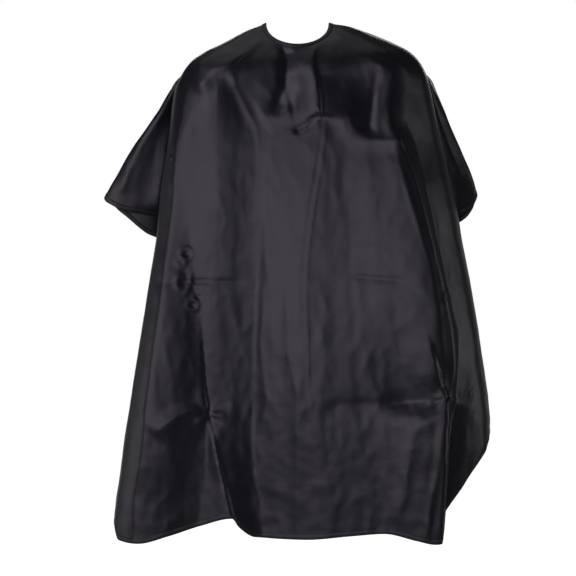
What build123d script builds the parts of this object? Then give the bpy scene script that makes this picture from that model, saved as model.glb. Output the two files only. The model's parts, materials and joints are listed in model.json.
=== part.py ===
"""A barber cape of black polyester taffeta, as it hangs on a wearer whose elbows are held out.

Millimetres, +Z up, +X to the wearer's left, -Y towards the front. The origin is the middle of the neck
opening, level with its two highest points, where the sheet lies against the sides of the neck.

The cape is one sheet of cloth with a bound neck opening and a slit from there to its back hem. In front it
hangs to the knees and wraps round both sides of the body. Behind it is short: two wings, one each side of the
slit, hang from the shoulders and the elbows. The solids below divide that one sheet into the regions
between its folds. Behind the neck a tab with two press snaps closes over a facing with four studs.
"""

from build123d import *
from math import atan2, cos, sin, tan
import os

os.makedirs("parts", exist_ok=True)

# ---- driving dimensions -------------------------------------------------------------------------------
cloth = 3.0                 # thickness of the stand-in solids, which take up the room of the small folds
seam_gap = 0.3              # between neighbouring regions of the sheet
slit_width = 3.0            # between the two back edges

neck_width = 120.0
neck_depth = 116.0
binding_height = 8.0
binding_thickness = 1.5

front_length = 985.0        # from the side of the neck down to the lowest hem
back_length = 430.0         # from the side of the neck down to the back hem
yoke_depth = 104.0          # the shoulders, above the level where front and back part
side_fold = 170.0           # where the front turns into the sides, left and right of the middle
wing_front = 14.0           # the wings begin this far behind the middle of the shoulders

outside = 420.0             # further across than either side of the cape
reach = 1200.0              # longer than anything in the model
headroom = 10.0             # cutting outlines pass above the neck by this much
run_on = 5.0                # the stations pass below the hems by this much

# Stations of the sheet: height, half width right and left of the wearer, depth in front and behind.
sheet_stations = [
    (2, 66, 66, 6, 6),
    (-13, 92, 113, 33, 33),
    (-42, 143, 178, 57, 56),
    (-104, 223, 248, 92, 88),
    (-260, 258, 283, 128, 108),
    (-412, 269, 311, 140, 118),
    (-640, 305, 352, 166, 132),
    (-780, 326, 366, 182, 140),
    (-front_length - run_on, 348, 352, 200, 150),
]

# Stations of the two back wings, which stand out over the elbows.
wing_stations = [
    (-98, 223, 248, 60, 92),
    (-184, 276, 284, 60, 126),
    (-317, 369, 347, 60, 148),
    (-back_length - run_on, 404, 356, 60, 158),
]

# The front hem, seen from in front: across and up.
front_hem = [
    (-outside, -945),
    (-345, -950),
    (-300, -front_length),
    (-123, -940),
    (-80, -975),
    (155, -968),
    (258, -front_length),
    (275, -981),
    (281, -925),
    (356, -815),
    (372, -780),
    (outside, -780),
]

rear_hem = 800.0            # the sheet's corner behind the wearer's left side hangs no lower than this

# The lower edges of the wings, from the middle of the back to the elbow, across and up.
right_wing_edge = [(0, -back_length), (-269, -412), (-367, -327), (-outside, -312)]
left_wing_edge = [(0, -back_length), (307, -384), (332, -346), (343, -315), (outside, -295)]


# ---- the sheet ----------------------------------------------------------------------------------------
def bell(stations, inset):
    """The solid that hangs inside the stations; an inset makes the smaller one that hollows it."""
    with BuildPart() as shape:
        for height, right, left, front, back in stations:
            with BuildSketch(Plane.XY.offset(height - inset)):
                with Locations(((left - right) / 2, (back - front) / 2)):
                    Ellipse((left + right) / 2 - inset, (back + front) / 2 - inset)
        loft(ruled=True)
    return shape.part


def shell(stations):
    """The bell as a skin of cloth, open below."""
    with BuildPart() as skin:
        add(bell(stations, 0))
        add(bell(stations, cloth), mode=Mode.SUBTRACT)
    return skin.part


sheet_skin = shell(sheet_stations)
wing_skin = shell(wing_stations)

for name, side in (("yoke_right", -1), ("yoke_left", 1)):
    with BuildPart() as yoke:
        add(sheet_skin)
        with BuildSketch(Plane.XZ):
            with Locations((side * (reach + seam_gap) / 2, (headroom - yoke_depth) / 2)):
                Rectangle(reach, yoke_depth + headroom)
        extrude(amount=reach, both=True, mode=Mode.INTERSECT)
        with BuildSketch(Plane.XY):
            Ellipse(neck_width / 2 + seam_gap, neck_depth / 2 + seam_gap)
        extrude(amount=reach, both=True, mode=Mode.SUBTRACT)
        with Locations((0, reach / 2, 0)):
            Box(slit_width, reach, reach, mode=Mode.SUBTRACT)
    yoke.part.label = name
    export_step(yoke.part, f"parts/{name}.step")

# The front and both sides below the yokes: the span of each region across, then from front to back.
drape_spans = {
    "drape_front": (-side_fold + seam_gap, side_fold - seam_gap, -reach, 0),
    "drape_right": (-reach, -side_fold, -reach, -seam_gap),
    "drape_left": (side_fold, reach, -reach, -seam_gap),
    "wrap_right": (-reach, -side_fold, 0, reach),
    "wrap_left": (side_fold, reach, 0, reach),
}
for name, (start, end, fore, aft) in drape_spans.items():
    with BuildPart() as drape:
        add(sheet_skin)
        with BuildSketch(Plane.XZ):
            with BuildLine():
                Polyline((-outside, -yoke_depth - seam_gap), *front_hem, (outside, -yoke_depth - seam_gap),
                         close=True)
            make_face()
        extrude(amount=reach, both=True, mode=Mode.INTERSECT)
        with Locations(((start + end) / 2, (fore + aft) / 2, 0)):
            Box(end - start, aft - fore, 3 * reach, mode=Mode.INTERSECT)
        with Locations((reach / 2, reach / 2, -rear_hem - reach / 2)):
            Box(reach, reach, reach, mode=Mode.SUBTRACT)
    drape.part.label = name
    export_step(drape.part, f"parts/{name}.step")

for name, side, edge in (("wing_right", -1, right_wing_edge), ("wing_left", 1, left_wing_edge)):
    with BuildPart() as wing:
        add(wing_skin)
        with BuildSketch(Plane.XZ.offset(-wing_front)):
            with BuildLine():
                Polyline(*edge, (side * outside, -yoke_depth - seam_gap), (0, -yoke_depth - seam_gap),
                         close=True)
            make_face()
        extrude(amount=-reach, mode=Mode.INTERSECT)
        with Locations((0, reach / 2, 0)):
            Box(slit_width, reach, 3 * reach, mode=Mode.SUBTRACT)
    wing.part.label = name
    export_step(wing.part, f"parts/{name}.step")

# ---- the binding of the neck opening --------------------------------------------------------------------
binding_rise = 1.0          # its folded edge stands this far above the cloth
sheet_body = bell(sheet_stations, 0)
with BuildPart() as neck_binding:
    with BuildSketch(Plane.XY):
        Ellipse(neck_width / 2, neck_depth / 2)
        Ellipse(neck_width / 2 - binding_thickness, neck_depth / 2 - binding_thickness, mode=Mode.SUBTRACT)
    extrude(amount=reach, both=True)
    add(sheet_body.moved(Location((0, 0, binding_rise))), mode=Mode.INTERSECT)
    add(sheet_body.moved(Location((0, 0, binding_rise - binding_height))), mode=Mode.SUBTRACT)
    with Locations((0, reach / 2, 0)):
        Box(slit_width, reach, reach, mode=Mode.SUBTRACT)
neck_binding.part.label = "neck_binding"
export_step(neck_binding.part, "parts/neck_binding.step")

# ---- the closure behind the neck ------------------------------------------------------------------------
# It lies on the slope of the yoke, in layers that are measured outwards from the yoke's surface.
slope_top, slope_foot = sheet_stations[2], sheet_stations[3]
back_slope = atan2(slope_foot[4] - slope_top[4], slope_top[0] - slope_foot[0])
closure_drop = 20.0         # from the top of the slope to the middle of the closure
closure_origin = (0, slope_top[4] + closure_drop * tan(back_slope), slope_top[0] - closure_drop)
closure_plane = Plane(closure_origin, x_dir=(1, 0, 0), z_dir=(0, cos(back_slope), sin(back_slope)))

tab_width = 28.0
tab_root, tab_end = 55.0, -28.0
facing_start, facing_end = -62.0, 16.0
corner_radius = 9.0
tape = 0.5                  # thickness of a layer of folded cloth
stiffener = 0.4
stiffener_margin = 3.0      # from the edge of the strip
layer_gap = 0.05
prong_hole = 1.0            # radius
stud_pitch = 18.0
first_stud = -50.0
stud_places = [first_stud + i * stud_pitch for i in range(4)]
socket_places = stud_places[2:]


def strip(label, height, thickness, start, end, places, margin=0.0):
    """A rounded strip of cloth on the closure, with a hole for each snap that goes through it."""
    with BuildPart() as layer:
        with BuildSketch(closure_plane.offset(height)):
            with Locations(((start + end) / 2, 0)):
                RectangleRounded(end - start - 2 * margin, tab_width - 2 * margin, corner_radius - margin)
            with Locations([(place, 0) for place in places]):
                Circle(prong_hole, mode=Mode.SUBTRACT)
        extrude(amount=thickness)
    layer.part.label = label
    export_step(layer.part, f"parts/{label}.step")
    return height + thickness + layer_gap


post_flange = 1.0           # height above the yoke at which the posts' heads begin
head_thickness = 0.8
level = post_flange + head_thickness + 2 * layer_gap
level = strip("facing_lining", level, tape, facing_start, facing_end, stud_places)
level = strip("facing_stiffener", level, stiffener, facing_start, facing_end, stud_places, stiffener_margin)
stud_base = strip("facing_cloth", level, tape, facing_start, facing_end, stud_places) + layer_gap

stud_height = 3.2
socket_height = 2.9
socket_foot = stud_base + 1.0
level = socket_foot + socket_height + 2 * layer_gap
level = strip("tab_lining", level, tape, tab_end, tab_root, socket_places)
hinge_height = level + stiffener / 2
level = strip("tab_stiffener", level, stiffener, tab_end, tab_root, socket_places, stiffener_margin)
cap_foot = strip("tab_cloth", level, tape, tab_end, tab_root, socket_places) + layer_gap

# Each half of a press snap is turned about its own axis, from points of radius and height.
snap_profiles = {
    "snap_post": (stud_places, [
        (0, post_flange), (5.2, post_flange), (6, post_flange + 0.5), (6, post_flange + head_thickness),
        (0.8, post_flange + head_thickness), (0.8, stud_base + 0.5), (0, stud_base + 0.9)]),
    "snap_stud": (stud_places, [
        (0.95, stud_base), (5.3, stud_base), (5.3, stud_base + 0.5), (5, stud_base + 0.8),
        (2, stud_base + 0.8), (1.9, stud_base + 1.7), (2.3, stud_base + 2.3), (2.2, stud_base + 2.9),
        (1.8, stud_base + stud_height), (0.95, stud_base + stud_height)]),
    "snap_socket": (socket_places, [
        (2.6, socket_foot), (4.9, socket_foot), (5.2, socket_foot + 0.3), (5.2, socket_foot + 2.6),
        (4.9, socket_foot + socket_height), (0.95, socket_foot + socket_height),
        (0.95, socket_foot + 2.45), (2.6, socket_foot + 2.45)]),
    "snap_cap": (socket_places, [
        (0, socket_foot + 2.5), (0.8, socket_foot + 2.7), (0.8, cap_foot), (6.2, cap_foot),
        (6.2, cap_foot + 0.4), (5.3, cap_foot + 1.1), (3, cap_foot + 1.6), (0, cap_foot + 1.8)]),
}
for kind, (places, points) in snap_profiles.items():
    for number, place in enumerate(places, start=1):
        foot = closure_plane.from_local_coords((place, 0, 0))
        with BuildPart() as snap:
            with BuildSketch(Plane(foot, x_dir=(1, 0, 0), z_dir=-closure_plane.y_dir)):
                with BuildLine():
                    Polyline(*points, close=True)
                make_face()
            revolve(axis=Axis(foot, closure_plane.z_dir))
        snap.part.label = f"{kind}_{number}"
        export_step(snap.part, f"parts/{kind}_{number}.step")

# ---- the care label, blank, inside the back of the neck --------------------------------------------------
label_width, label_length, label_thickness = 24.0, 30.0, 0.8
label_place = (34, 50.5, -58)
with BuildPart() as care_label:
    with Locations(label_place):
        Box(label_width, label_thickness, label_length, align=(Align.CENTER, Align.CENTER, Align.MAX))
care_label.part.label = "care_label"
export_step(care_label.part, "parts/care_label.step")

hinge = closure_plane.from_local_coords((tab_root, 0, hinge_height))
print("tab hinge, m:", [round(c / 1000, 5) for c in hinge], "axis:", [round(c, 5) for c in closure_plane.y_dir])
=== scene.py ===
"""A barber cape of black taffeta: one hanging sheet, its hems and binding, and the closure behind the neck.

Everything is in metres in the frame of the CAD model: +Z up, +X to the wearer's left, -Y to the front, with
the origin at the middle of the neck opening. Lists of points are written in millimetres and scaled once.
"""

import json
import math

import bmesh
import bpy
import numpy as np
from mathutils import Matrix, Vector, noise
from mathutils.bvhtree import BVHTree


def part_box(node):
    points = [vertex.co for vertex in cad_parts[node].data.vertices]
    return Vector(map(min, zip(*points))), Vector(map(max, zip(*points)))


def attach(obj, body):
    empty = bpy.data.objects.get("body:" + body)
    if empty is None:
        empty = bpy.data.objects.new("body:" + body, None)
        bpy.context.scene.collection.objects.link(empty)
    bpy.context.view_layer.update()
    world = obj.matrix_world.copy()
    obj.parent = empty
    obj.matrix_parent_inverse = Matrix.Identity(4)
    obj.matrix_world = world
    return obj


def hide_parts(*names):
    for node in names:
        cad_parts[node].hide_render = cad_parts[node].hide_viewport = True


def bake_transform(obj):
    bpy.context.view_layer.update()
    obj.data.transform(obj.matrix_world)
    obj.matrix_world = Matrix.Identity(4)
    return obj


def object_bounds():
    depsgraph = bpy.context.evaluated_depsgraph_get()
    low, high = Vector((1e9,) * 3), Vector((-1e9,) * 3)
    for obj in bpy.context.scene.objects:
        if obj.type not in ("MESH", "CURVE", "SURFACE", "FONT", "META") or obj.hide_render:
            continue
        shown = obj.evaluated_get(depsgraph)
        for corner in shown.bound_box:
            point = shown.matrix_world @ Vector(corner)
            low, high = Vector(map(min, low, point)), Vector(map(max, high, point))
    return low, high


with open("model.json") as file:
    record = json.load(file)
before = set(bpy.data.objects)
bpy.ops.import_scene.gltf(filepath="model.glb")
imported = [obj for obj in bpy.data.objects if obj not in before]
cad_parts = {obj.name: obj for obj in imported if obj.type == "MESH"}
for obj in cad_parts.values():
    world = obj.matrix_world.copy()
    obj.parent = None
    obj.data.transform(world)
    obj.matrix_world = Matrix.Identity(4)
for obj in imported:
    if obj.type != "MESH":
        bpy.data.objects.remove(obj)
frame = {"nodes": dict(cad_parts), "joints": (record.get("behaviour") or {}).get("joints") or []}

MM = 0.001
cad_box = [list(corner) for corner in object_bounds()]
nodes = frame["nodes"]

# The closure's own axes: along it to the wearer's left, down the back, and out from the sheet.
hinge = next(joint for joint in frame["joints"] if joint["name"] == "closure_tab_hinge")
HINGE_ALONG, HINGE_HEIGHT = 0.055, 0.00825      # from the closure's middle to its hinge
ALONG = Vector((1, 0, 0))
DOWN = Vector(hinge["axis"]).normalized()
OUT = ALONG.cross(DOWN)
CLOSURE = Vector(hinge["pos_m"]) - ALONG * HINGE_ALONG - OUT * HINGE_HEIGHT


# ---- camera, light and stage ----
FIELD = 1.0944              # width of the picture where the cape hangs
CAMERA_DISTANCE = 6.0
CAMERA_HEIGHT = -0.5035
CAMERA_ACROSS = -0.018
FLOOR_HEIGHT = cad_box[0][2] - 0.32
FLOOR_RADIUS, FLOOR_SIDES, FLOOR_GREY = 9.0, 96, 0.30
SURROUND = 0.018            # how bright the room is around the lamps


def make_camera():
    camera = bpy.data.objects.new("camera", bpy.data.cameras.new("camera"))
    camera.data.sensor_width = 36.0
    camera.data.lens = camera.data.sensor_width * CAMERA_DISTANCE / FIELD
    camera.location = (CAMERA_ACROSS, -CAMERA_DISTANCE, CAMERA_HEIGHT)
    camera.rotation_euler = (math.pi / 2, 0, 0)
    bpy.context.scene.collection.objects.link(camera)
    bpy.context.scene.camera = camera


def make_light(name, place, target, width, height, power):
    lamp = bpy.data.lights.new(name, "AREA")
    lamp.shape = "RECTANGLE"
    lamp.size = width
    lamp.size_y = height
    lamp.energy = power
    light = bpy.data.objects.new(name, lamp)
    light.location = place
    light.rotation_euler = (Vector(target) - Vector(place)).to_track_quat("-Z", "Y").to_euler()
    light.visible_camera = False
    bpy.context.scene.collection.objects.link(light)


def set_inputs(tree, node, inputs):
    """Sets inputs of a node, each to a value or linked to another node's output."""
    for socket, source in inputs:
        if hasattr(source, "is_output"):
            tree.links.new(source, node.inputs[socket])
        else:
            node.inputs[socket].default_value = source


def add_node(tree, kind, inputs=(), **properties):
    """A new shader node with its properties and its inputs set."""
    node = tree.nodes.new(kind)
    for name, value in properties.items():
        setattr(node, name, value)
    set_inputs(tree, node, inputs)
    return node


def new_material(name):
    """A new material, its node tree and its shader."""
    material = bpy.data.materials.new(name)
    material.use_nodes = True
    return material, material.node_tree, material.node_tree.nodes["Principled BSDF"]


def make_stage():
    """A round, very pale floor and an even surround, white to the camera and dim to the cloth."""
    turns = [2 * math.pi * i / FLOOR_SIDES for i in range(FLOOR_SIDES)]
    ring = [(FLOOR_RADIUS * math.cos(turn), FLOOR_RADIUS * math.sin(turn), FLOOR_HEIGHT) for turn in turns]
    mesh = bpy.data.meshes.new("floor")
    mesh.from_pydata(ring, [], [list(range(FLOOR_SIDES))])
    floor = bpy.data.objects.new("floor", mesh)
    bpy.context.scene.collection.objects.link(floor)
    material, tree, shader = new_material("floor_white")
    seen = add_node(tree, "ShaderNodeLightPath").outputs["Is Camera Ray"]
    set_inputs(tree, shader, [("Base Color", (FLOOR_GREY, FLOOR_GREY, FLOOR_GREY, 1)), ("Roughness", 0.8),
                              ("Emission Color", (1, 1, 1, 1)), ("Emission Strength", seen)])
    mesh.materials.append(material)
    world = bpy.data.worlds.new("surround")
    world.use_nodes = True
    tree = world.node_tree
    seen = add_node(tree, "ShaderNodeLightPath").outputs["Is Camera Ray"]
    level = add_node(tree, "ShaderNodeMapRange", [("Value", seen), ("To Min", SURROUND), ("To Max", 1.0)])
    set_inputs(tree, tree.nodes["Background"], [("Color", (1, 1, 1, 1)),
                                                ("Strength", level.outputs["Result"])])
    bpy.context.scene.world = world
    bpy.context.scene.view_settings.view_transform = "Standard"


make_camera()
make_stage()
make_light("key", (-1.5, -4.2, 0.3), (-0.4, 0, -0.25), 4.8, 2.3, 67)
make_light("front_top", (-1.9, -2.3, 2.0), (-0.1, 0, -0.2), 1.8, 1.4, 22)
make_light("top", (-0.6, 0.5, 2.4), (-0.1, 0, -0.1), 2.2, 2.2, 7)
make_light("left", (-4.2, -0.4, -0.5), (0, 0, -0.5), 2.6, 2.0, 20)
make_light("fill", (3.8, -0.9, -0.2), (0, 0, -0.5), 1.2, 2.4, 18)
make_light("back", (0.3, 4.2, 1.1), (0, 0, -0.4), 2.6, 1.4, 24)
make_light("back_panel", (0, 5.5, -0.3), (0, 0, -0.4), 7.0, 3.0, 18)
make_light("side_right", (-3.8, 2.2, -0.4), (0, 0, -0.5), 2.0, 2.4, 3.5)
make_light("side_left", (3.6, 2.2, -0.4), (0, 0, -0.5), 2.0, 2.4, 1.6)


# ---- small tools for shaping ----
def hermite(t, step, start, end, start_slope, end_slope):
    """A cubic from start to end with these slopes, read at the share t of a step."""
    return ((2 * t**3 - 3 * t**2 + 1) * start + (t**3 - 2 * t**2 + t) * step * start_slope
            + (3 * t**2 - 2 * t**3) * end + (t**3 - t**2) * step * end_slope)


def smooth_table(table, at, column=1):
    """A smooth curve through rows of (place, value, ...), read at the places 'at'; monotone between rows."""
    rows = sorted(table)
    x = np.array([row[0] for row in rows], float)
    y = np.array([row[column] for row in rows], float)
    slope = np.diff(y) / np.diff(x)
    tangent = np.zeros(len(x))
    before, after = slope[:-1], slope[1:]
    inner = before * after > 0
    tangent[1:-1][inner] = (2 * before * after)[inner] / (before + after)[inner]
    tangent[0], tangent[-1] = slope[0], slope[-1]
    at = np.clip(np.asarray(at, float), x[0], x[-1])
    k = np.clip(np.searchsorted(x, at, side="right") - 1, 0, len(x) - 2)
    step = x[k + 1] - x[k]
    return hermite((at - x[k]) / step, step, y[k], y[k + 1], tangent[k], tangent[k + 1])


def ramp(low, high, x):
    """0 below low, 1 above high, smooth between; low may be above high."""
    t = np.clip((x - low) / (high - low), 0, 1)
    return t * t * (3 - 2 * t)


def catmull(knots, points, at):
    """A Catmull-Rom curve through points (knot, 2) at uneven knots, read at the places 'at'."""
    knots = np.asarray(knots, float)
    tangent = np.zeros_like(points)
    tangent[1:-1] = (points[2:] - points[:-2]) / (knots[2:] - knots[:-2])[:, None]
    tangent[0] = (points[1] - points[0]) / (knots[1] - knots[0])
    tangent[-1] = (points[-1] - points[-2]) / (knots[-1] - knots[-2])
    k = np.clip(np.searchsorted(knots, at, side="right") - 1, 0, len(knots) - 2)
    step = (knots[k + 1] - knots[k])[:, None]
    t = (at - knots[k])[:, None] / step
    return hermite(t, step, points[k], points[k + 1], tangent[k], tangent[k + 1])


def along_path(path, x, z):
    """Distance to the right of a path in the (x, z) plane, walking along it, and the share of it passed."""
    path = np.array(path, float) * MM
    lengths = np.hypot(*np.diff(path, axis=0).T)
    total = lengths.sum()
    best = np.full(x.shape, np.inf)
    offset = np.zeros(x.shape)
    share = np.zeros(x.shape)
    walked = 0.0
    for (ax, az), (bx, bz), length in zip(path[:-1], path[1:], lengths):
        ux, uz = (bx - ax) / length, (bz - az) / length
        along = (x - ax) * ux + (z - az) * uz
        side = -(x - ax) * uz + (z - az) * ux
        held = np.clip(along, 0, length)
        reach = np.hypot(along - held, side)
        near = reach < best
        best[near] = reach[near]
        offset[near] = (np.sign(side) * reach)[near]
        # Past the ends the share runs on below 0 and above 1, so that a fold can fade out there.
        share[near] = ((walked + along) / total)[near]
        walked += length
    return offset, share


def lengths_across(points, axis):
    """The distance walked over the points to each of them, along one axis of their array."""
    steps = np.linalg.norm(np.diff(points, axis=axis), axis=-1)
    start = np.zeros_like(steps.take([0], axis=axis))
    return np.concatenate([start, np.cumsum(steps, axis=axis)], axis=axis)


def read_along(points, reached, at):
    """The columns of a line of points, read at distances along it."""
    return np.stack([np.interp(at, reached, column) for column in points.T], axis=-1)


# ---- the sheet's outline ----
# Half widths of the front, seen from in front: height, wearer's right, wearer's left.
front_sides = [
    (-104, 223, 248), (-127, 233, 253), (-203, 242, 268), (-247, 247, 278), (-317, 257, 294),
    (-369, 262, 305), (-412, 266, 312), (-488, 278, 327), (-564, 290, 340), (-640, 302, 352),
    (-716, 314, 363), (-754, 320, 366), (-785, 325, 366), (-830, 330, 362), (-950, 344, 350),
    (-985, 343, 342),
]
# The outer edges of the wings, over the elbows.
wing_sides = [
    (-104, 228, 255), (-146, 254, 275), (-184, 278, 290), (-222, 305, 307), (-260, 329, 323),
    (-298, 350, 338), (-330, 367, 345), (-400, 392, 348), (-450, 398, 352),
]
# Depths: height, front, back.
depths = [(-104, 94, 86), (-184, 112, 116), (-260, 124, 134), (-412, 142, 150), (-640, 167, 154),
          (-800, 174, 155), (-985, 176, 156)]
# How squarely the front turns into the sides, low down: height, wearer's right and left.
squareness = [(-104, 0.4, 0), (-200, 0.7, 0), (-330, 0.9, 0.2), (-540, 1.0, 0.35), (-985, 1.0, 0.5)]
# How far the shoulders rise above a straight line from the neck: share of the way, wearer's right and left.
shoulder_rise = [(0, 0, 0), (0.25, 9, 18), (0.5, 14, 26), (0.7, 19, 31), (0.8, 19, 32), (0.88, 17, 27),
                 (0.95, 11, 17), (1, 0, 0)]

NECK_HALF_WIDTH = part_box("neck_binding")[1][0]
NECK_HALF_DEPTH = -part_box("neck_binding")[0][1]
NECK_DIP, NECK_DIP_IN_FRONT = 0.042, 0.0445
YOKE_FOOT, SHEET_FOOT = -0.104, -1.0            # where the shoulders end, and lower than any hem
CHEST_SWELL = 0.006
SLIT_AT_NECK, SLIT_AT_HEM, SLIT_FOOT = 0.002, 0.022, -0.60

# Columns run from 0 at the middle of the front to 1 at the slit, and below 0 on the wearer's right.
COLUMNS = 220               # on each side of the middle
SIDE = 0.44                 # the column at the sides, seen from in front
VALLEY = 0.50               # the column at the bottom of the fold between front and wing
EDGE = 0.56                 # the column at which the sheet's side edges hang below the elbows
TIP = 0.72                  # the column that turns over the elbow
NEAR_SLIT = 0.9             # the column past which the neck's edge keeps clear of the slit's middle
# The columns of a section's points, in the order in which section() gives them.
section_columns = [0.0, 0.14, 0.27, 0.36, 0.40, SIDE, VALLEY, EDGE, 0.64, TIP, 0.79, 0.89, 1.0]
# Rows run down: over the shoulders, down to the wings' edge, and from there to the hem.
YOKE_ROWS, WING_ROWS, SKIRT_ROWS = 30, 70, 150
SKIRT_START = YOKE_ROWS + WING_ROWS
LEVELS = 180                # level curves from which the rows below the shoulders are read

# Where the wings end: column, wearer's right, wearer's left. In front of the edge column the sheet hangs on.
wing_edge = [(0, -400, -400), (SIDE, -390, -390), (EDGE, -370, -372), (0.615, -357, -362),
             (0.67, -340, -346), (TIP, -327, -325), (0.755, -360, -352), (0.79, -401, -377),
             (0.84, -418, -400), (0.89, -428, -425), (1, -430, -430)]
# The front hem, seen from in front, from the wearer's right to the left; it steps at both laps.
front_hem = [
    (-350, -933), (-341, -948), (-330, -970), (-291, -975), (-240, -962), (-180, -943), (-122, -929),
    (-110, -945), (-79, -964), (12, -968), (101, -961), (160, -957), (219, -970), (249, -976), (264, -974),
    (272, -936), (284, -916), (307, -884), (333, -841), (352, -811), (364, -778),
]
HEM_GUESS = -0.95, -0.85    # about how low the front hem hangs at the sides, wearer's right and left
# The hem behind the sides, by column.
wrap_hem = [(SIDE, -935, -780), (EDGE, -950, -770)]
# How far out a wing's crest lies, as a share of the way from the side to the elbow, wearer's right and left.
wing_crest = 0.74, 0.52
# How far back the wings lie, wearer's right and left: at the edge column, the crest, the elbow, and the inner
# part of the back layer.
wing_depths = (0.050, 0.036, 0.048, 0.058), (0.040, 0.046, 0.058, 0.068)


def slit_half_width(height):
    """Half the opening of the slit behind the neck: nearly shut at the neck, hanging open at the hem."""
    return SLIT_AT_NECK + (SLIT_AT_HEM - SLIT_AT_NECK) * float(ramp(-NECK_DIP, SLIT_FOOT, height))


def section(height):
    """Points of the level curve through the sheet, from the slit round by the wearer's right to the slit."""
    z = height / MM
    front = smooth_table(depths, z, 1) * MM
    back = smooth_table(depths, z, 2) * MM
    below = float(ramp(-345, -430, z))          # grows to 1 below the wings
    split = float(ramp(-104, -190, z))          # grows to 1 where the wings have parted from the front
    halves = []
    for column, crest, (edge_y, crest_y, tip_y, inner_y) in zip((1, 2), wing_crest, wing_depths):
        side = smooth_table(front_sides, z, column) * MM
        wing = smooth_table(wing_sides, z, column) * MM
        square = smooth_table(squareness, z, column)
        points = [
            (0, -front),
            (0.40 * side, -0.985 * front),
            (0.74 * side, -(0.88 + 0.07 * square) * front),
            ((0.92 + 0.04 * square) * side, -(0.54 + 0.28 * square) * front),
            ((0.975 + 0.02 * square) * side, -(0.34 + 0.28 * square) * front),
            (side, 0.0),
            (side - 0.030 * split, 0.014 + 0.036 * split),
            (side - 0.004 * split, 0.020 + (edge_y - 0.020) * split),
            (side + crest * (wing - side), 0.026 + (crest_y - 0.026) * split),
            (wing, tip_y),
            (side + 0.15 * (wing - side), inner_y),
            (0.47 * wing, 0.90 * back),
            (slit_half_width(height), back),
        ]
        # Below the wings the sheet wraps from the sides straight behind the wearer.
        for k, (x, y) in ((6, (0.95 * side, 0.40 * back)), (7, (0.66 * side, 0.80 * back))):
            points[k] = points[k][0] * (1 - below) + x * below, points[k][1] * (1 - below) + y * below
        halves.append(points)
    right = [(-x, y) for x, y in reversed(halves[0])]
    return np.array(right + halves[1][1:])


def column_turn(col):
    """The angle of a column round the neck, from the middle of the front to the slit."""
    reach = abs(col)
    return math.pi / 2 * (reach / SIDE if reach < SIDE else 1 + (reach - SIDE) / (1 - SIDE))


def base_surface():
    """The smooth sheet without folds: a grid of points, rows from the neck down, columns round the body."""
    half = np.linspace(0, 1, COLUMNS + 1)
    # One column runs exactly down the side edge.
    half[np.argmin(abs(half - EDGE))] = EDGE
    c = np.concatenate([-half[::-1], half[1:]])
    knots = np.concatenate([-np.array(section_columns[::-1]), section_columns[1:]])
    levels = np.linspace(YOKE_FOOT, SHEET_FOOT, LEVELS)
    curves = np.array([catmull(knots, section(level), c) for level in levels])

    def at(z, column):
        z = np.atleast_1d(z)
        return np.column_stack([read_along(curves[:, column], -levels, -z), z])

    grid = np.zeros((SKIRT_START + SKIRT_ROWS + 1, len(c), 3))
    down = np.linspace(0, 1, YOKE_ROWS + 1)
    rises = [smooth_table(shoulder_rise, down, column) * MM for column in (1, 2)]
    for i, col in enumerate(c):
        reach = abs(col)
        turn = column_turn(col)
        hand = int(col > 0)
        across = NECK_HALF_WIDTH * math.sin(turn)
        if reach > NEAR_SLIT:
            across = max(across, SLIT_AT_NECK)
        dip = NECK_DIP if reach > SIDE else NECK_DIP_IN_FRONT
        neck = np.array([math.copysign(across, col), -NECK_HALF_DEPTH * math.cos(turn),
                         -dip * abs(math.cos(turn))**0.92])
        foot = at(YOKE_FOOT, i)[0]
        sideways = abs(math.sin(turn))**1.5
        for r, t in enumerate(down):
            p = neck * (1 - t) + foot * t
            p[2] += rises[hand][r] * sideways
            p[1] -= math.cos(turn) * CHEST_SWELL * (1 - sideways) * math.sin(math.pi * t)
            grid[r, i] = p
        cut = float(smooth_table(wing_edge, reach, 1 + hand)) * MM
        grid[YOKE_ROWS:SKIRT_START + 1, i] = at(np.linspace(YOKE_FOOT, cut, WING_ROWS + 1), i)
        if reach > SIDE:
            low = float(smooth_table(wrap_hem, min(reach, EDGE), 1 + hand)) * MM
        else:
            # How low the hem is depends on where the column meets it, so it is looked up twice.
            low = HEM_GUESS[hand]
            for _ in range(2):
                low = float(smooth_table(front_hem, at(low, i)[0][0] / MM)) * MM
        grid[SKIRT_START:, i] = at(np.linspace(cut, low, SKIRT_ROWS + 1), i)
    return c, grid


def relax(part, passes):
    """Evens out a part of the grid, in place, without moving its border."""
    for _ in range(passes):
        mean = (part[:-2, 1:-1] + part[2:, 1:-1] + part[1:-1, :-2] + part[1:-1, 2:]) / 4
        part[1:-1, 1:-1] = part[1:-1, 1:-1] * 0.4 + mean * 0.6


def grid_normals(grid):
    """Outward unit normals of the grid."""
    across = np.gradient(grid, axis=1)
    down = np.gradient(grid, axis=0)
    normal = np.cross(down, across)
    return normal / np.maximum(np.linalg.norm(normal, axis=-1, keepdims=True), 1e-12)


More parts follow.
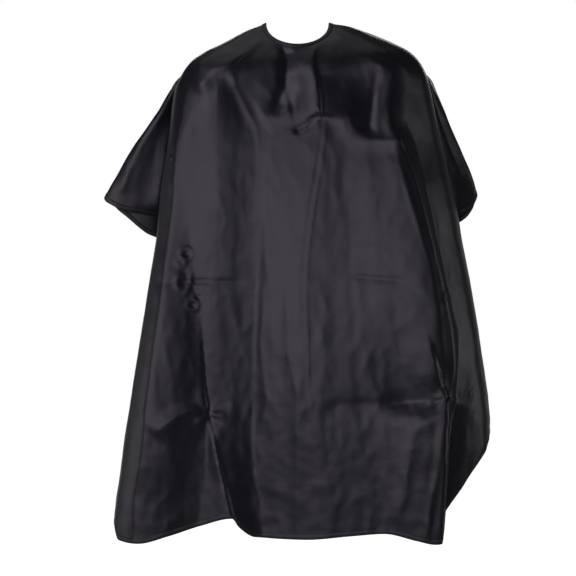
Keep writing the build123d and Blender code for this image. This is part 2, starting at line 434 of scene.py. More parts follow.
# ---- folds ----
# The front's crests and hollows, left to right as seen: height, place across, how far the sheet stands out.
broad_folds = [
    [(-104, -225, 0), (-250, -243, 0), (-412, -266, 0), (-640, -301, 0), (-950, -343, 0)],
    [(-130, -205, 2), (-175, -212, 5), (-247, -225, 8), (-334, -229, 9), (-460, -243, 12), (-544, -252, 15),
     (-620, -262, 17), (-700, -272, 19), (-820, -284, 19), (-900, -298, 17)],
    [(-130, -185, 3), (-250, -200, 6), (-340, -200, 4), (-400, -200, 1), (-460, -193, -3), (-540, -186, -8),
     (-620, -179, -12), (-700, -174, -15), (-820, -168, -16), (-930, -182, -14)],
    [(-105, -155, 1), (-124, -150, 4), (-200, -149, 8), (-334, -148, 7), (-400, -152, 1), (-460, -158, -4),
     (-540, -165, -7), (-620, -162, -11), (-700, -160, -14), (-793, -152, -8), (-850, -142, -6),
     (-929, -125, -4)],
    [(-99, -130, -1), (-130, -122, 0), (-173, -106, 0), (-250, -75, -1), (-359, -73, -4), (-460, -75, -13),
     (-540, -79, -18), (-640, -82, -23), (-740, -84, -27), (-830, -80, -25), (-930, -66, -23)],
    [(-105, -100, 0), (-173, -82, 0), (-204, -70, 0), (-247, -62, 0), (-359, -58, -1), (-458, -56, -6),
     (-501, -50, -7), (-577, -44, -8), (-640, -42, -10), (-709, -44, -12), (-784, -42, -14),
     (-930, -26, -14)],
    [(-105, 34, 4), (-120, 40, 6), (-170, 43, 6), (-205, 42, 4), (-276, 38, 4), (-361, 23, 4),
     (-427, 14, 4), (-577, 10, 3), (-671, 14, 3), (-765, 25, 2), (-860, 38, 1), (-960, 45, 1)],
    [(-105, 80, -3), (-150, 76, 0), (-170, 80, 1), (-205, 87, 2), (-247, 91, 3), (-309, 88, 3),
     (-383, 97, 3), (-458, 100, 3), (-544, 109, 2), (-643, 128, 1), (-705, 146, 0), (-779, 155, 0),
     (-903, 158, 0)],
    [(-105, 148, -9), (-150, 140, -9), (-200, 134, -8), (-235, 138, 3), (-300, 142, 8), (-400, 152, 9),
     (-500, 168, 9), (-580, 182, 6), (-650, 192, 0), (-712, 200, -7), (-748, 200, 2), (-850, 200, 3),
     (-950, 200, 2)],
    [(-105, 160, -7), (-150, 152, -5), (-200, 150, -2), (-235, 162, 5), (-278, 180, 11), (-359, 200, 13),
     (-458, 230, 17), (-532, 246, 17), (-606, 260, 15), (-660, 264, 9), (-704, 252, -3), (-748, 250, 3),
     (-850, 245, 3), (-950, 240, 3)],
    [(-105, 178, -3), (-150, 172, -1), (-200, 172, 4), (-235, 188, 9), (-278, 207, 14), (-359, 229, 18),
     (-458, 252, 20), (-532, 268, 20), (-606, 282, 18), (-660, 287, 13), (-704, 284, 7), (-748, 279, 8),
     (-850, 272, 9), (-950, 267, 9)],
    [(-105, 206, -2), (-180, 208, -6), (-235, 226, -8), (-334, 246, -4), (-458, 271, -3), (-540, 288, -3),
     (-606, 300, -3), (-705, 300, -6), (-760, 288, -8), (-860, 281, -10), (-950, 275, -10)],
    [(-104, 244, 0), (-317, 289, 0), (-412, 306, 0), (-640, 347, 0), (-754, 360, 0), (-830, 357, 0)],
]

# Narrow folds: path down the front, half width on its right side and left side as seen, height, sharpness.
narrow_folds = [
    ([(-222, -200), (-225, -276), (-230, -408), (-247, -558), (-262, -671), (-276, -803),
      (-291, -960)], 7, 9, 0.8, 0.5),
    ([(-129, -98), (-94, -173), (-77, -204), (-73, -247), (-74, -359), (-76, -458),
      (-64, -501)], 6, 6, 0.9, 0.6),
    ([(-67, -490), (-64, -544), (-70, -606), (-58, -709), (-69, -784), (-80, -830)], 8, 8, 1.6, 0.6),
    ([(-18, -470), (-18, -619), (-1, -694), (1, -859), (-3, -965)], 12, 12, 2.6, 0.5),
    ([(50, -528), (45, -596), (48, -634), (39, -739), (47, -840), (61, -930)], 18, 9, 1.2, 0.5),
    ([(103, -380), (106, -483), (116, -588), (127, -634), (153, -746), (164, -822),
      (153, -940)], 20, 9, 0.8, 0.4),
    ([(241, -743), (212, -769), (204, -822), (193, -878), (178, -940)], 14, 12, 2.5, 0.3),
    ([(180, -240), (195, -303), (217, -380), (239, -461), (254, -545), (264, -628),
      (271, -690)], 7, 18, 2.6, 0.5),
    ([(264, -746), (256, -829), (241, -916), (236, -968)], 5, 7, 2.5, 0.6),
    ([(-42, -10), (-20, -70), (-24, -126), (-46, -180)], 20, 13, -8, 0.2),
    ([(43, -180), (19, -200), (-8, -214)], 5, 8, -3.4, 0.3),
    ([(-262, -496), (-180, -489), (-90, -491)], 5, 12, -1.5, 0.7),
    ([(100, -481), (153, -487), (200, -489)], 5, 12, -1.6, 0.7),
    ([(30, -739), (79, -720), (190, -716), (275, -705)], 12, 36, -1.9, 0.2),
    ([(-264, -776), (-236, -750), (-205, -733), (-172, -729)], 16, 28, 5, 0.4),
    ([(88, -165), (100, -200), (122, -219), (150, -228), (178, -232), (205, -222)], 55, 22, 7, 0.5),
    ([(-190, -135), (-165, -110), (-132, -99), (-112, -120)], 30, 14, 4, 0.4),
    ([(-66, -192), (-40, -176), (-10, -170)], 40, 20, 3, 0.4),
    ([(-64, -8), (-104, -34), (-150, -60), (-196, -98)], 9, 16, 2.6, 0.4),
    ([(-60, -24), (-92, -58), (-128, -84), (-168, -100)], 10, 12, 1.8, 0.4),
    ([(-58, -2), (-84, -14), (-122, -34)], 6, 8, 1.6, 0.4),
    ([(62, -8), (116, -30), (170, -60), (214, -104)], 9, 12, 2.8, 0.4),
    ([(62, -22), (100, -48), (140, -76), (176, -96)], 10, 12, 2.0, 0.4),
    ([(70, -4), (120, -18), (166, -44)], 6, 8, 1.4, 0.4),
]
# Round crumples: place, radius, height of the rim and of the middle.
crumples = [(-206, -440, 10, 1.5, -0.8), (-195, -534, 9, 1.4, -1.0), (-216, -455, 8, 1.2, 0.8),
            (272, -525, 9, 1.6, -0.8), (-234, -261, 5, -1.0, 3.0), (-212, -494, 12, 1.2, -1.4),
            (-185, -520, 8, 0.8, -0.8)]
# Pinched points and their ripples: place, reach, height, number, turn.
pinches = [(-167, -735, 44, 1.3, 3, 0.4), (274, -706, 60, 1.6, 4, 1.1), (43, -183, 30, 0.9, 3, 0.2),
           (-200, -497, 34, 0.8, 4, 0.9)]
# Folds of the wings, as the narrow ones.
wing_folds = [
    ([(-266, -165), (-280, -190), (-310, -247), (-341, -325)], 8, 10, 2.0, 0.3),
    ([(-236, -110), (-254, -260), (-270, -360)], 10, 16, 4, 0.3),
    ([(262, -150), (285, -220), (318, -300)], 12, 12, 3, 0.3),
]
# Flutes beside and behind: column, drift, width, height, and the heights between which it opens out.
flutes = [
    (-0.965, 0.012, 0.022, 7, -110, -400), (-0.905, 0.000, 0.026, 13, -120, -400),
    (-0.850, -0.008, 0.020, 8, -100, -330), (-0.805, -0.006, 0.018, -8, -120, -380),
    (-0.935, 0.004, 0.014, -6, -180, -420), (0.970, -0.010, 0.020, 9, -120, -380),
    (0.920, -0.006, 0.024, -7, -130, -420), (0.880, 0.004, 0.024, 14, -110, -400),
    (0.825, 0.006, 0.020, 7, -120, -350), (0.790, 0.004, 0.016, -6, -150, -400),
    (-0.462, 0.006, 0.010, 5, -420, -640), (-0.490, 0.004, 0.012, -5, -420, -700),
    (-0.520, -0.004, 0.012, 7, -440, -760), (-0.545, 0.000, 0.009, -4, -440, -800),
    (0.465, 0.004, 0.010, 4, -420, -600), (0.495, -0.006, 0.013, 7, -430, -700),
    (0.525, 0.002, 0.010, -5, -440, -720), (0.548, 0.000, 0.008, 4, -440, -760),
]
# The packing crease down the middle, a narrow groove with raised lips.
middle_crease = [(43, -182), (47, -201), (38, -276), (23, -361), (14, -427), (10, -483), (10, -577),
                 (14, -671), (19, -728), (25, -765), (38, -860)]
CREASE_WIDTH = 4
# Laps, where the sheet folds over itself: path, height and reach. The part on the left lies on top.
laps = [
    ([(-186, -480), (-180, -577), (-175, -671), (-167, -737), (-153, -793), (-119, -929),
      (-112, -965)], 3, 46),
    ([(236, -580), (262, -671), (275, -709), (272, -800), (266, -916), (260, -985)], 13, 80),
    ([(34, -44), (31, -79), (38, -117), (43, -164), (44, -184)], 4, 18),
]


def spread(x, z):
    """The broad folds' height at every point of the front."""
    lines = [[smooth_table(rows, z / MM, column) * MM for column in (1, 2)] for rows in broad_folds]
    height = np.zeros(x.shape)
    for (x0, h0), (x1, h1) in zip(lines[:-1], lines[1:]):
        t = (x - x0) / np.maximum(x1 - x0, 1 * MM)
        inside = (t >= 0) & (t < 1)
        t = np.clip(t, 0, 1)
        eased = 0.6 * t + 0.4 * t * t * (3 - 2 * t)
        height = np.where(inside, h0 + (h1 - h0) * eased, height)
    return height


def fold(offset, share, right, left, height, sharpness):
    """A narrow fold: its height at a distance from its line, fading out at both its ends."""
    u = offset / (np.where(offset > 0, right, left) * MM)
    rounded = np.exp(-u * u)
    creased = np.exp(-abs(u) * 1.6)
    fade = ramp(-0.04, 0.16, share) * ramp(1.04, 0.84, share)
    return height * MM * fade * (rounded * (1 - sharpness) + creased * sharpness)


def flute(c, z, column, drift, width, height, top, foot):
    """A soft upright fold along a column, which widens and drifts as it opens."""
    opened = ramp(top, foot, z / MM)
    away = (c[None, :] - column - math.copysign(drift, column) * opened) / (width * (0.55 + 0.45 * opened))
    return height * MM * opened * np.exp(-away**2)


def crumple(x, z, place_x, place_z, radius, rim, middle):
    """A ring pushed up in the cloth round a dent or a bump."""
    r = np.hypot(x - place_x * MM, z - place_z * MM) / (radius * MM)
    return (rim * np.exp(-((r - 1) / 0.42)**2) + middle * np.exp(-(r / 0.6)**2)) * MM


def pinch(x, z, place_x, place_z, reach, height, ripples, turn):
    """Ripples that spread from a point, strongest at a third of their reach."""
    dx, dz = x - place_x * MM, z - place_z * MM
    r = np.hypot(dx, dz) / (reach * MM)
    angle = np.arctan2(dz, dx)
    wave = np.cos(ripples * angle + turn) + 0.5 * np.cos((ripples + 3) * angle + 2.3 * turn)
    strongest = 0.35
    return height * MM * wave * r / strongest * np.exp(1 - r / strongest) * np.exp(-r * r * 0.5)


def small_wrinkles(points):
    """Soft unevenness of thin cloth: upright ripples, long streaks, and finer crumpling, more low down."""
    def field(level, upright, shift=(0, 0)):
        return np.array([noise.noise((p[0] * level + shift[0], p[1] * level, p[2] * upright + shift[1]))
                         for p in flat])

    flat = points.reshape(-1, 3)
    low = ramp(-0.35, -0.9, flat[:, 2])
    height = (field(14, 5) * (1.0 + 0.4 * low) - abs(field(30, 16, (7, 0))) * (1.1 + 0.9 * low)
              + field(85, 60, (0, 3)) * (0.15 + 0.25 * low) + field(60, 2.5, (11, 0)) * 0.3)
    return (height * MM).reshape(points.shape[:2])


def lap(offset, share, rise, reach):
    """A lap's height, and how far its upper layer is pushed sideways over the lower one."""
    fade = ramp(-0.02, 0.45, share) * ramp(1.03, 0.98, share)
    top = 1 / (1 + np.exp(np.clip(offset / (1.2 * MM), -40, 40)))
    near = np.exp(-(offset / (reach * MM))**2)
    height = top * np.where(offset < 0, near, 1) - 0.5 * near * (offset > 0)
    return rise * MM * fade * height, rise * 0.3 * MM * fade * np.exp(-(offset / (7 * MM))**2)


def shape_sheet():
    """The columns and the grid of the sheet, with all its folds."""
    c, grid = base_surface()
    relax(grid[:SKIRT_START], 6)
    normal = grid_normals(grid)
    x, z = grid[..., 0], grid[..., 2]
    front = ramp(SIDE + 0.05, SIDE - 0.03, abs(c))[None, :]
    height = spread(x, z) * ramp(-0.07, -0.14, z)
    for path, *shape in narrow_folds:
        height += fold(*along_path(path, x, z), *shape)
    offset, share = along_path(middle_crease, x, z)
    height += (fold(offset, share, CREASE_WIDTH, CREASE_WIDTH, -1.5, 0.8)
               + fold(offset - CREASE_WIDTH * MM, share, CREASE_WIDTH, CREASE_WIDTH, 1.1, 0.3))
    height *= front
    for row in crumples:
        height += crumple(x, z, *row) * front
    for row in pinches:
        height += pinch(x, z, *row) * front
    shift = np.zeros(x.shape)
    for path, *shape in laps:
        rise, push = lap(*along_path(path, x, z), *shape)
        height += rise
        shift += push
    outer = ramp(SIDE, VALLEY, abs(c)) * ramp(TIP + 0.04, TIP - 0.04, abs(c))
    for path, *shape in wing_folds:
        height += fold(*along_path(path, x, z), *shape) * outer * ramp(-0.40, -0.36, z)
    height = height * np.maximum(front, outer) + small_wrinkles(grid)
    for row in flutes:
        height += flute(c, z, *row)
    # The binding holds the first rows smooth.
    height *= ramp(0, 9, np.arange(grid.shape[0]))[:, None]
    grid = grid + normal * height[..., None]
    grid[..., 0] += shift * front
    return c, lie_flat(grid)


SHEET_LIES = 0.0004         # the sheet's height under the closure
# The stretch pressed flat under the closure: at each end, where that starts and where it is complete.
FLAT_RIGHT, FLAT_LEFT = (-0.125, -0.070), (0.120, 0.066)
FLAT_ABOVE, FLAT_BELOW = (-0.034, -0.016), (0.060, 0.018)


def lie_flat(grid):
    """Presses the back of the sheet flat under the closure."""
    away = grid - np.array(CLOSURE)
    along, down, out = (away @ np.array(axis) for axis in (ALONG, DOWN, OUT))
    flat = (ramp(*FLAT_RIGHT, along) * ramp(*FLAT_LEFT, along) * ramp(*FLAT_ABOVE, down)
            * ramp(*FLAT_BELOW, down) * (grid[..., 1] > 0.02))
    return grid + np.array(OUT) * ((SHEET_LIES - out) * flat)[..., None]


def mesh_object(name, points, faces, lengths, material, worn=None):
    """A smooth mesh of the points that its faces use, with a UV map in metres along the cloth."""
    used, index = np.unique(np.concatenate([np.array(face) for face in faces]), return_inverse=True)
    mesh = bpy.data.meshes.new(name)
    sizes = [len(face) for face in faces]
    starts = np.concatenate([[0], np.cumsum(sizes)])
    mesh.from_pydata(np.asarray(points)[used].tolist(), [],
                     [index[start:start + size].tolist() for start, size in zip(starts, sizes)])
    uv = mesh.uv_layers.new(name="cloth")
    corners = np.zeros(len(mesh.loops), int)
    mesh.loops.foreach_get("vertex_index", corners)
    uv.data.foreach_set("uv", np.asarray(lengths, np.float32)[used][corners].ravel())
    if worn is not None:
        attribute = mesh.attributes.new("worn", "FLOAT", "POINT")
        attribute.data.foreach_set("value", np.asarray(worn, np.float32)[used])
    mesh.shade_smooth()
    mesh.materials.append(material)
    piece = bpy.data.objects.new(name, mesh)
    bpy.context.scene.collection.objects.link(piece)
    return piece


def face_outwards(piece):
    """Turns the faces of a closed piece outwards and sharpens the corners between its caps and its sides."""
    bm = bmesh.new()
    bm.from_mesh(piece.data)
    bmesh.ops.remove_doubles(bm, verts=bm.verts, dist=1e-6)
    bmesh.ops.recalc_face_normals(bm, faces=bm.faces)
    bm.to_mesh(piece.data)
    bm.free()
    piece.data.set_sharp_from_angle(angle=math.radians(70))
    return piece


# The way a column runs on the flat sheet below the yoke: column, and turn from straight down the front.
headings = [(0, 0), (0.34, 0.2), (SIDE, 1.5), (0.60, 2.5), (0.80, 3.0), (1, math.pi)]


def laid_flat(c, grid):
    """Where each point lies on the sheet as cut, in metres: out from the neck hole, then down or back."""
    down = lengths_across(grid, 0)
    turn = np.array([column_turn(col) for col in c]) * np.sign(c)
    heading = smooth_table(headings, abs(c)) * np.sign(c)
    hole = np.stack([NECK_HALF_WIDTH * np.sin(turn), -NECK_HALF_DEPTH * np.cos(turn)], axis=-1)
    over_yoke = np.minimum(down, down[YOKE_ROWS])[..., None]
    below = np.maximum(down - down[YOKE_ROWS], 0)[..., None]
    return (hole + over_yoke * np.stack([np.sin(turn), -np.cos(turn)], axis=-1)
            + below * np.stack([np.sin(heading), -np.cos(heading)], axis=-1))


def grid_cells(rows, across, first=0):
    """The corners of each cell of a grid of points that are numbered along its rows."""
    corner = first + np.arange(rows * across).reshape(rows, across)
    return np.stack([corner[:-1, :-1], corner[1:, :-1], corner[1:, 1:], corner[:-1, 1:]], axis=-1)


def cape_sheet(c, grid):
    """The sheet, without the cells that its cut leaves out below the wings."""
    rows, across = grid.shape[:2]
    in_front = np.maximum(abs(c[:-1]), abs(c[1:])) <= EDGE + 1e-6
    kept = (np.arange(rows - 1) < SKIRT_START)[:, None] | in_front
    offset, share = along_path(middle_crease, grid[..., 0], grid[..., 2])
    worn = np.exp(-(offset / (3 * MM))**2) * ((share > 0) & (share < 1) & (grid[..., 1] < 0))
    worn[0] = worn[-1] = 1
    return mesh_object("cape_sheet", grid.reshape(-1, 3), list(grid_cells(rows, across)[kept]),
                       laid_flat(c, grid).reshape(-1, 2), cape_cloth, worn.ravel())


# ---- hems, binding and stitches ----
# Sections of the folded bands over an edge of the sheet: how far in from the edge, and how far out from it.
binding_section = [(8, 0.45), (7.7, 0.85), (4, 1.0), (0.6, 1.1), (-0.5, 0.8), (-1.0, 0), (-0.5, -0.8),
                   (0.6, -1.1), (4, -1.0), (7.7, -0.85), (8, -0.45)]
hem_section = [(9, 0.25), (8.7, 0.55), (5, 0.65), (0.5, 0.8), (-0.3, 0.55), (-0.6, 0), (-0.3, -0.55),
               (0.5, -0.8), (5, -0.65), (8.7, -0.55), (9, -0.25)]
BINDING_SEAM, HEM_SEAM = (6.4, 0.98), (7.4, 0.6)        # the same, for their stitching
STITCH_PITCH, STITCH_LENGTH, THREAD = 0.0034, 0.0027, 0.00026
INWARD = 6                  # how many rows or columns in from the edge a band may reach


def read_rails(rails, distance):
    """The points at a distance from the start of each rail; before its start a rail runs on straight."""
    passed = lengths_across(rails[..., :3], 1)
    result = np.array([read_along(rail, reached, distance) for rail, reached in zip(rails, passed)])
    if distance < 0:
        ahead = (rails[:, 1, :3] - rails[:, 0, :3]) / passed[:, 1:2]
        result[:, :3] = rails[:, 0, :3] + ahead * distance
    return result[:, :3], result[:, 3:]


def closed_tubes(name, tubes, lengths, material):
    """A piece of closed tubes of cloth, each a run of rings of points with a cap on both its ends."""
    faces, first = [], 0
    for rings in tubes:
        count, corners = rings.shape[:2]
        place = first + np.arange(count * corners).reshape(count, corners)
        beside = np.roll(place, -1, axis=1)
        faces += list(np.stack([place[:-1], beside[:-1], beside[1:], place[1:]], axis=-1).reshape(-1, 4))
        faces += [place[0], place[-1][::-1]]
        first += count * corners
    points = np.concatenate([rings.reshape(-1, 3) for rings in tubes])
    return face_outwards(mesh_object(name, points, faces, np.concatenate(lengths), material))


def edge_band(name, runs, section, material):
    """Folded bands over edges of the sheet, one closed strip for each run of rails."""
    tubes, lengths = [], []
    for rails in runs:
        corners = [read_rails(rails, inset * MM) + (rise * MM,) for inset, rise in section]
        rings = np.stack([place + normal * rise for place, normal, rise in corners], axis=1)
        tubes.append(rings)
        lengths.append(np.stack([lengths_across(rings, axis) for axis in (0, 1)], axis=-1).reshape(-1, 2))
    return closed_tubes(name, tubes, lengths, material)


def one_stitch():
    """A stitch of unit length and radius along X: points and faces."""
    sides = 6
    rings = [(-0.44, 0.55), (-0.28, 0.95), (0, 1), (0.28, 0.95), (0.44, 0.55)]
    turns = [2 * math.pi * k / sides for k in range(sides)]
    wall = [(x, radius * math.cos(turn), radius * math.sin(turn)) for x, radius in rings for turn in turns]
    points = [(-0.5, 0, 0)] + wall + [(0.5, 0, 0)]
    faces = []
    for k in range(sides):
        n = (k + 1) % sides
        faces.append((0, 1 + n, 1 + k))
        faces.append((len(points) - 1, len(points) - 1 - sides + k, len(points) - 1 - sides + n))
        for ring in range(len(rings) - 1):
            a = 1 + ring * sides
            faces.append((a + k, a + n, a + sides + n, a + sides + k))
    return np.array(points), faces


def stitches(name, lines, material):
    """Rows of stitches along lines of points, each with its outward directions."""
    unit, unit_faces = one_stitch()
    points, faces = [], []
    for line, outward in lines:
        reached = lengths_across(line, 0)
        count = int(reached[-1] / STITCH_PITCH)
        for at in (np.arange(count) + 0.5) * reached[-1] / count:
            start = read_along(line, reached, at - STITCH_LENGTH / 2)
            end = read_along(line, reached, at + STITCH_LENGTH / 2)
            run = (end - start) / np.linalg.norm(end - start)
            side = np.cross(read_along(outward, reached, at), run)
            side /= np.linalg.norm(side)
            out = np.cross(run, side)
            first = len(points) * len(unit)
            shape = np.outer(unit[:, 0] * STITCH_LENGTH, run) + np.outer(unit[:, 1] * THREAD, side)
            points.append((start + end) / 2 + shape + np.outer((unit[:, 2] + 0.3) * THREAD, out))
            faces += [tuple(first + corner for corner in face) for face in unit_faces]
    points = np.concatenate(points)
    return mesh_object(name, points, faces, points[:, :2], material)


def border_runs(c, grid):
    """Rails in from each edge of the sheet: the neck, and the runs of its hems."""
    both = np.concatenate([grid, grid_normals(grid)], axis=-1)
    left, right = np.searchsorted(c, -EDGE - 1e-9), np.searchsorted(c, EDGE - 1e-9)
    neck = both[:INWARD].swapaxes(0, 1)
    front = [both[:-INWARD - 1:-1, left:right + 1].swapaxes(0, 1)]
    sides = [both[SKIRT_START:, left:left + INWARD], both[SKIRT_START:, right:right - INWARD:-1]]
    wings = [both[SKIRT_START:SKIRT_START - INWARD:-1, part].swapaxes(0, 1)
             for part in (slice(0, left + 1), slice(right, None))]
    slit = [both[:SKIRT_START + 1, :INWARD], both[:SKIRT_START + 1, :-INWARD - 1:-1]]
    return neck, front + sides + wings + slit


def seam(rails, place_on_band, side):
    """A line of stitching along rails, and its outward directions; side is 1 outside and -1 inside."""
    inset, rise = place_on_band
    place, normal = read_rails(rails, inset * MM)
    return place + normal * side * rise * MM, normal * side


# ---- the closure's two strips ----
STRIP_WIDTH, STRIP_CORNER, STRIP_SEAM = 0.028, 0.009, 0.0026
FACING_START, FACING_END, FACING_FOOT, FACING_TOP = -0.062, 0.016, 0.0006, 0.0034
FACING_CROSS = -0.004       # its seam beside the slit; to the left of it the facing is free of the sheet
FACING_FREE = 0.0013        # how much higher its foot lies there
STRAP_START, STRAP_END, STRAP_FOOT, STRAP_THICK = -0.028, 0.088, 0.0075, 0.0015
STRAP_CROSS = 0.069         # the seam where the strap meets the sheet
STRAP_COMES_DOWN = 0.050, 0.068
CROSS_SEAM = 0.0112         # half the length of a seam across a strip
CLOTH_GAP = 0.0002


def from_closure(along, down, out):
    """Points given along the closure, down the back and out from the sheet."""
    return (np.array(CLOSURE) + np.multiply.outer(along, ALONG) + np.multiply.outer(down, DOWN)
            + np.multiply.outer(out, OUT))


def strip_depth(along, down, start, end):
    """How far a place lies inside the strip's rounded outline."""
    x = abs(along - (start + end) / 2) - ((end - start) / 2 - STRIP_CORNER)
    y = abs(down) - (STRIP_WIDTH / 2 - STRIP_CORNER)
    return STRIP_CORNER - np.hypot(np.maximum(x, 0), np.maximum(y, 0)) - np.minimum(np.maximum(x, y), 0)


def strip_faces(along, down, start, end, foot, top):
    """Heights of a strip's lower and upper faces: rounded at the border and drawn in along the seam."""
    depth = strip_depth(along, down, start, end)
    edge, groove_depth, groove_width, ripple_height = 0.0007, 0.00016, 0.0006, 0.00005
    round_off = np.sqrt(np.maximum(1 - (1 - np.clip(depth / edge, 0, 1))**2, 0))
    groove = groove_depth * np.exp(-((depth - STRIP_SEAM) / groove_width)**2)
    ripple = ripple_height * np.sin(along * 900) * np.sin(down * 700) * np.clip(depth / STRIP_SEAM, 0, 1)
    middle, half = (foot + top) / 2, (top - foot) / 2 * round_off
    return middle - half + groove * round_off, middle + half - groove * round_off + ripple * round_off


def strip(name, start, end, foot, top, material):
    """A stiffened strip of cloth over the closure, closed all round; foot and top give its faces' heights."""
    s, t = (np.sin(np.linspace(-math.pi / 2, math.pi / 2, count)) for count in (97, 41))
    middle, half = (start + end) / 2, (end - start) / 2
    along = middle + half * s[:, None] + np.zeros_like(t)[None, :]
    cut = np.maximum(STRIP_CORNER - (half - abs(along - middle)), 0)
    half_width = STRIP_WIDTH / 2 - STRIP_CORNER + np.sqrt(np.maximum(STRIP_CORNER**2 - cut**2, 0))
    down = half_width * t[None, :]
    heights = strip_faces(along, down, start, end, foot(along, down), top(along, down))
    points = np.concatenate([from_closure(along, down, height) for height in heights]).reshape(-1, 3)
    lengths = np.concatenate([np.stack([along, down], axis=-1)] * 2).reshape(-1, 2)
    faces = np.concatenate([grid_cells(*along.shape, first).reshape(-1, 4) for first in (0, along.size)])
    return face_outwards(mesh_object(name, points, list(faces), lengths, material))


def strip_seam(start, end, height, side):
    """The stitching round a strip, just inside its border: points on it and their outward directions."""
    radius = STRIP_CORNER - STRIP_SEAM
    half = (end - start) / 2 - STRIP_CORNER
    high = STRIP_WIDTH / 2 - STRIP_CORNER
    outline = []
    for quarter, (sx, sy) in enumerate(((1, 1), (-1, 1), (-1, -1), (1, -1))):
        for k in range(9):
            turn = math.pi / 2 * (quarter + k / 8)
            outline.append(((start + end) / 2 + sx * half + radius * math.cos(turn),
                            sy * high + radius * math.sin(turn)))
    return on_strip(outline + outline[:1], height, side)


def on_strip(corners, height, side):
    """A line over a strip through corners (along, down), laid on its face."""
    corners = np.array(corners)
    reached = lengths_across(corners, 0)
    at = np.linspace(0, reached[-1], int(reached[-1] / 0.001))
    along, down = read_along(corners, reached, at).T
    return from_closure(along, down, height(along, down)), np.tile(np.array(OUT) * side, (len(at), 1))


def closure_heights(sheet_mesh):
    """The heights of the strips' faces; the strap comes down to the sheet where it is sewn on."""
    tree = BVHTree.FromPolygons([v.co for v in sheet_mesh.vertices],
                                [face.vertices for face in sheet_mesh.polygons])
    above, reach = 0.03, 0.08

    def sheet_height(along, down):
        heights = np.zeros(np.shape(along))
        for place in np.ndindex(heights.shape):
            start = Vector(from_closure(along[place], down[place], above))
            hit = tree.ray_cast(start, -OUT, reach)[0]
            heights[place] = (hit - CLOSURE).dot(OUT) if hit else SHEET_LIES
        return heights

    def facing_foot(along, down):
        return FACING_FOOT + FACING_FREE * ramp(-0.006, 0.0, along)

    def facing_top(along, down):
        return np.full(np.shape(along), FACING_TOP)

    def strap_foot(along, down):
        sewn = ramp(*STRAP_COMES_DOWN, along)
        resting = np.where(sewn > 0, sheet_height(along, down) + CLOTH_GAP, 0)
        return STRAP_FOOT * (1 - sewn) + resting * sewn

    def strap_top(along, down):
        return strap_foot(along, down) + STRAP_THICK

    return facing_foot, facing_top, strap_foot, strap_top


# ---- the care label ----
LABEL_TOP, LABEL_TAPE, LABEL_GAP, LABEL_BOW = -0.041, 0.00022, 0.0005, 0.0009
LABEL_ROWS, LABEL_COLUMNS = 120, 33


def care_label_piece(material):
    """A blank loop of woven tape that hangs from the binding, folded at its lower end."""
    low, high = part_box("care_label")
    across, depth = (low[0] + high[0]) / 2, (low[1] + high[1]) / 2
    width, foot = high[0] - low[0], low[2] + LABEL_GAP
    bends = [k * math.pi / 8 for k in range(9)]
    front = [(-0.0022, LABEL_TOP), (-0.0016, -0.046), (-LABEL_GAP, -0.058), (-LABEL_GAP, -0.070)]
    fold_over = [(-LABEL_GAP * math.cos(bend), foot - LABEL_GAP * math.sin(bend)) for bend in bends]
    back = [(LABEL_GAP, -0.070), (LABEL_GAP, -0.058), (-0.0006, -0.046), (-0.0012, LABEL_TOP)]
    path = np.array(front + fold_over + back) + (depth, 0)
    reached = lengths_across(path, 0)
    at = np.linspace(0, reached[-1], LABEL_ROWS)
    path = read_along(path, reached, at)
    run = np.gradient(path, axis=0)
    run /= np.linalg.norm(run, axis=1, keepdims=True)
    side = np.stack([run[:, 1], -run[:, 0]], axis=-1)
    # A ring runs over the tape's front face and back over the other. The woven edges are a little thicker.
    u = np.linspace(-0.5, 0.5, LABEL_COLUMNS)
    u = np.concatenate([u, u[::-1]])
    out = np.repeat([-0.5, 0.5], LABEL_COLUMNS) * LABEL_TAPE * (1 + 0.8 * np.exp(-((0.5 - abs(u)) / 0.03)**2))
    y, z = (path[:, None, axis] + side[:, None, axis] * out for axis in (0, 1))
    x = np.broadcast_to(across + u * width, y.shape)
    rings = np.stack([x, y + LABEL_BOW * (1 - 4 * u**2), z], axis=-1)
    lengths = np.stack(np.broadcast_arrays(u * width, at[:, None]), axis=-1).reshape(-1, 2)
    return closed_tubes("woven_label", [rings], [lengths], material)


# ---- materials ----
def noise_node(tree, place, scale, detail, dimensions="3D"):
    """Noise over a place, about 0 to 1."""
    return add_node(tree, "ShaderNodeTexNoise", [("Vector", place), ("Scale", scale), ("Detail", detail)],
                    noise_dimensions=dimensions).outputs["Fac"]


def streaks(tree, cloth, across, down, detail=1.0):
    """Noise drawn out along the threads: how many features to a metre across and down the cloth."""
    stretched = add_node(tree, "ShaderNodeMapping", [("Vector", cloth), ("Scale", (across, down, 1))])
    return noise_node(tree, stretched.outputs["Vector"], 1.0, detail, "2D")


def math_node(tree, operation, a, b):
    """One step of arithmetic between two values."""
    return add_node(tree, "ShaderNodeMath", [(0, a), (1, b)], operation=operation).outputs["Value"]


def finish_surface(tree, shader, share, dark, light, rough, height, strength, relief):
    """Colour that follows a share between two colours, a roughness, and bump from a height."""
    colour = add_node(tree, "ShaderNodeMix", [("Factor", share), ("A", (*dark, 1)), ("B", (*light, 1))],
                      data_type="RGBA")
    bump = add_node(tree, "ShaderNodeBump",
                    [("Height", height), ("Strength", strength), ("Distance", relief)])
    set_inputs(tree, shader, [("Base Color", colour.outputs["Result"]),
                              ("Roughness", rough.outputs["Result"]), ("Normal", bump.outputs["Normal"])])


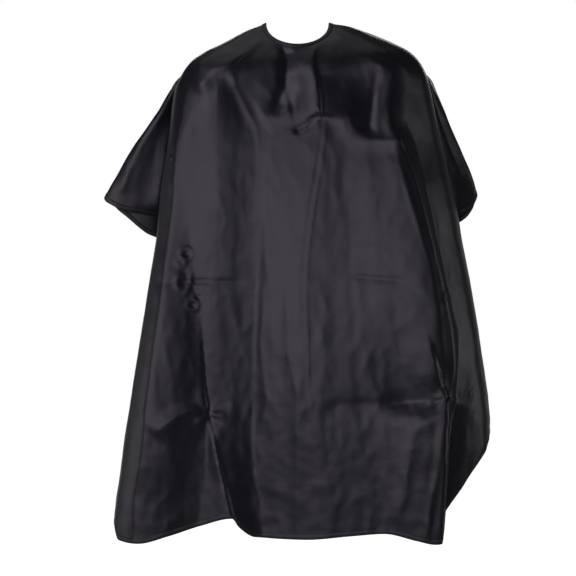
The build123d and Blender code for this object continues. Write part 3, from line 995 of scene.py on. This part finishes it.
def woven(name, dark, light, roughness, warp, weft, relief, sheen, tint=(1, 1, 1)):
    """A woven cloth: threads both ways with slubs, lighter where it is worn, at a real scale in metres."""
    material, tree, shader = new_material(name)
    cloth = add_node(tree, "ShaderNodeUVMap", uv_map="cloth").outputs["UV"]
    upright = streaks(tree, cloth, warp, warp * 0.03)
    level = streaks(tree, cloth, weft * 0.03, weft)
    slub = streaks(tree, cloth, 7, 260, 2.0)
    patches = streaks(tree, cloth, 9, 7, 3.0)
    worn = add_node(tree, "ShaderNodeAttribute", attribute_name="worn").outputs["Fac"]
    threads = math_node(tree, "ADD", level, math_node(tree, "MULTIPLY", slub, 0.8))
    threads = math_node(tree, "ADD", upright, threads)
    share = math_node(tree, "MULTIPLY", slub, math_node(tree, "ADD", patches, 0.3))
    share = math_node(tree, "ADD", share, math_node(tree, "MULTIPLY", worn, 0.5))
    rough = add_node(tree, "ShaderNodeMapRange", [("Value", share), ("To Min", roughness - 0.04),
                                                  ("To Max", roughness + 0.05)])
    finish_surface(tree, shader, share, dark, light, rough, threads, 0.5, relief)
    shader.inputs["Specular Tint"].default_value = (*tint, 1)
    shader.inputs["Sheen Weight"].default_value = sheen
    return material


def moulded(name, dark, roughness):
    """Moulded plastic: a faint orange peel, and a surface scuffed unevenly."""
    material, tree, shader = new_material(name)
    place = add_node(tree, "ShaderNodeTexCoord").outputs["Object"]
    peel = noise_node(tree, place, 1400.0, 2.0)
    scuff = noise_node(tree, place, 420.0, 4.0)
    rough = add_node(tree, "ShaderNodeMapRange", [
        ("Value", scuff), ("From Min", 0.35), ("From Max", 0.7), ("To Min", roughness),
        ("To Max", roughness + 0.2)])
    light = [2.2 * part for part in dark]
    finish_surface(tree, shader, scuff, dark, light, rough, peel, 0.4, 0.00004)
    return material


cloth_tint = (0.95, 0.90, 1.0)
cape_cloth = woven("black_taffeta", (0.0045, 0.0037, 0.0070), (0.0085, 0.0070, 0.0130),
                   0.38, 620, 480, 0.00009, 0.03, cloth_tint)
band_cloth = woven("taffeta_band", (0.0050, 0.0042, 0.0070), (0.0110, 0.0095, 0.0150),
                   0.44, 900, 700, 0.00010, 0.05, cloth_tint)
thread = woven("sewing_thread", (0.012, 0.011, 0.014), (0.030, 0.028, 0.034), 0.50, 4000, 9000, 0.00005, 0.10)
label_tape = woven("label_satin", (0.62, 0.61, 0.58), (0.78, 0.77, 0.74), 0.42, 2600, 1800, 0.00005, 0.25)
snap_plastic = moulded("snap_acetal", (0.010, 0.010, 0.011), 0.22)


# ---- the pieces ----
columns, sheet_grid = shape_sheet()
sheet = cape_sheet(columns, sheet_grid)
neck_run, hem_runs = border_runs(columns, sheet_grid)
neck_band = edge_band("neck_band", [neck_run], binding_section, band_cloth)
hem_bands = edge_band("hem_bands", hem_runs, hem_section, band_cloth)
edge_stitches = stitches("edge_stitches", [seam(neck_run, BINDING_SEAM, side) for side in (1, -1)]
                         + [seam(run, HEM_SEAM, side) for run in hem_runs for side in (-1, 1)], thread)

facing_foot, facing_top, strap_foot, strap_top = closure_heights(sheet.data)
facing = strip("closure_facing", FACING_START, FACING_END, facing_foot, facing_top, band_cloth)
strap = strip("closure_strap", STRAP_START, STRAP_END, strap_foot, strap_top, band_cloth)
facing_stitches = stitches("facing_stitches", [
    strip_seam(FACING_START, FACING_END, facing_top, 1),
    on_strip([(FACING_CROSS, -CROSS_SEAM), (FACING_CROSS, CROSS_SEAM)], facing_top, 1)], thread)
strap_stitches = stitches("strap_stitches", [
    strip_seam(STRAP_START, STRAP_END, strap_top, 1), strip_seam(STRAP_START, STRAP_END, strap_foot, -1),
    on_strip([(STRAP_CROSS, -CROSS_SEAM), (STRAP_CROSS, CROSS_SEAM)], strap_top, 1)], thread)
woven_label = care_label_piece(label_tape)

for name, node in nodes.items():
    if name.startswith("snap_"):
        node.data.materials.clear()
        node.data.materials.append(snap_plastic)

for piece, slot in ((sheet, "cape_cloth"), (neck_band, "trim_cloth"), (hem_bands, "cape_cloth"),
                    (edge_stitches, "trim_cloth"), (facing, "trim_cloth"), (facing_stitches, "trim_cloth"),
                    (woven_label, "label_tape")):
    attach(piece, "cape")
for piece in (strap, strap_stitches):
    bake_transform(piece)
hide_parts("yoke_right", "yoke_left", "drape_right", "drape_front", "drape_left",
            "wrap_right", "wrap_left", "wing_right", "wing_left")
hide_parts("neck_binding")
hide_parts("facing_lining", "facing_stiffener", "facing_cloth")
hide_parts("tab_lining", "tab_stiffener", "tab_cloth")
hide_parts("care_label")
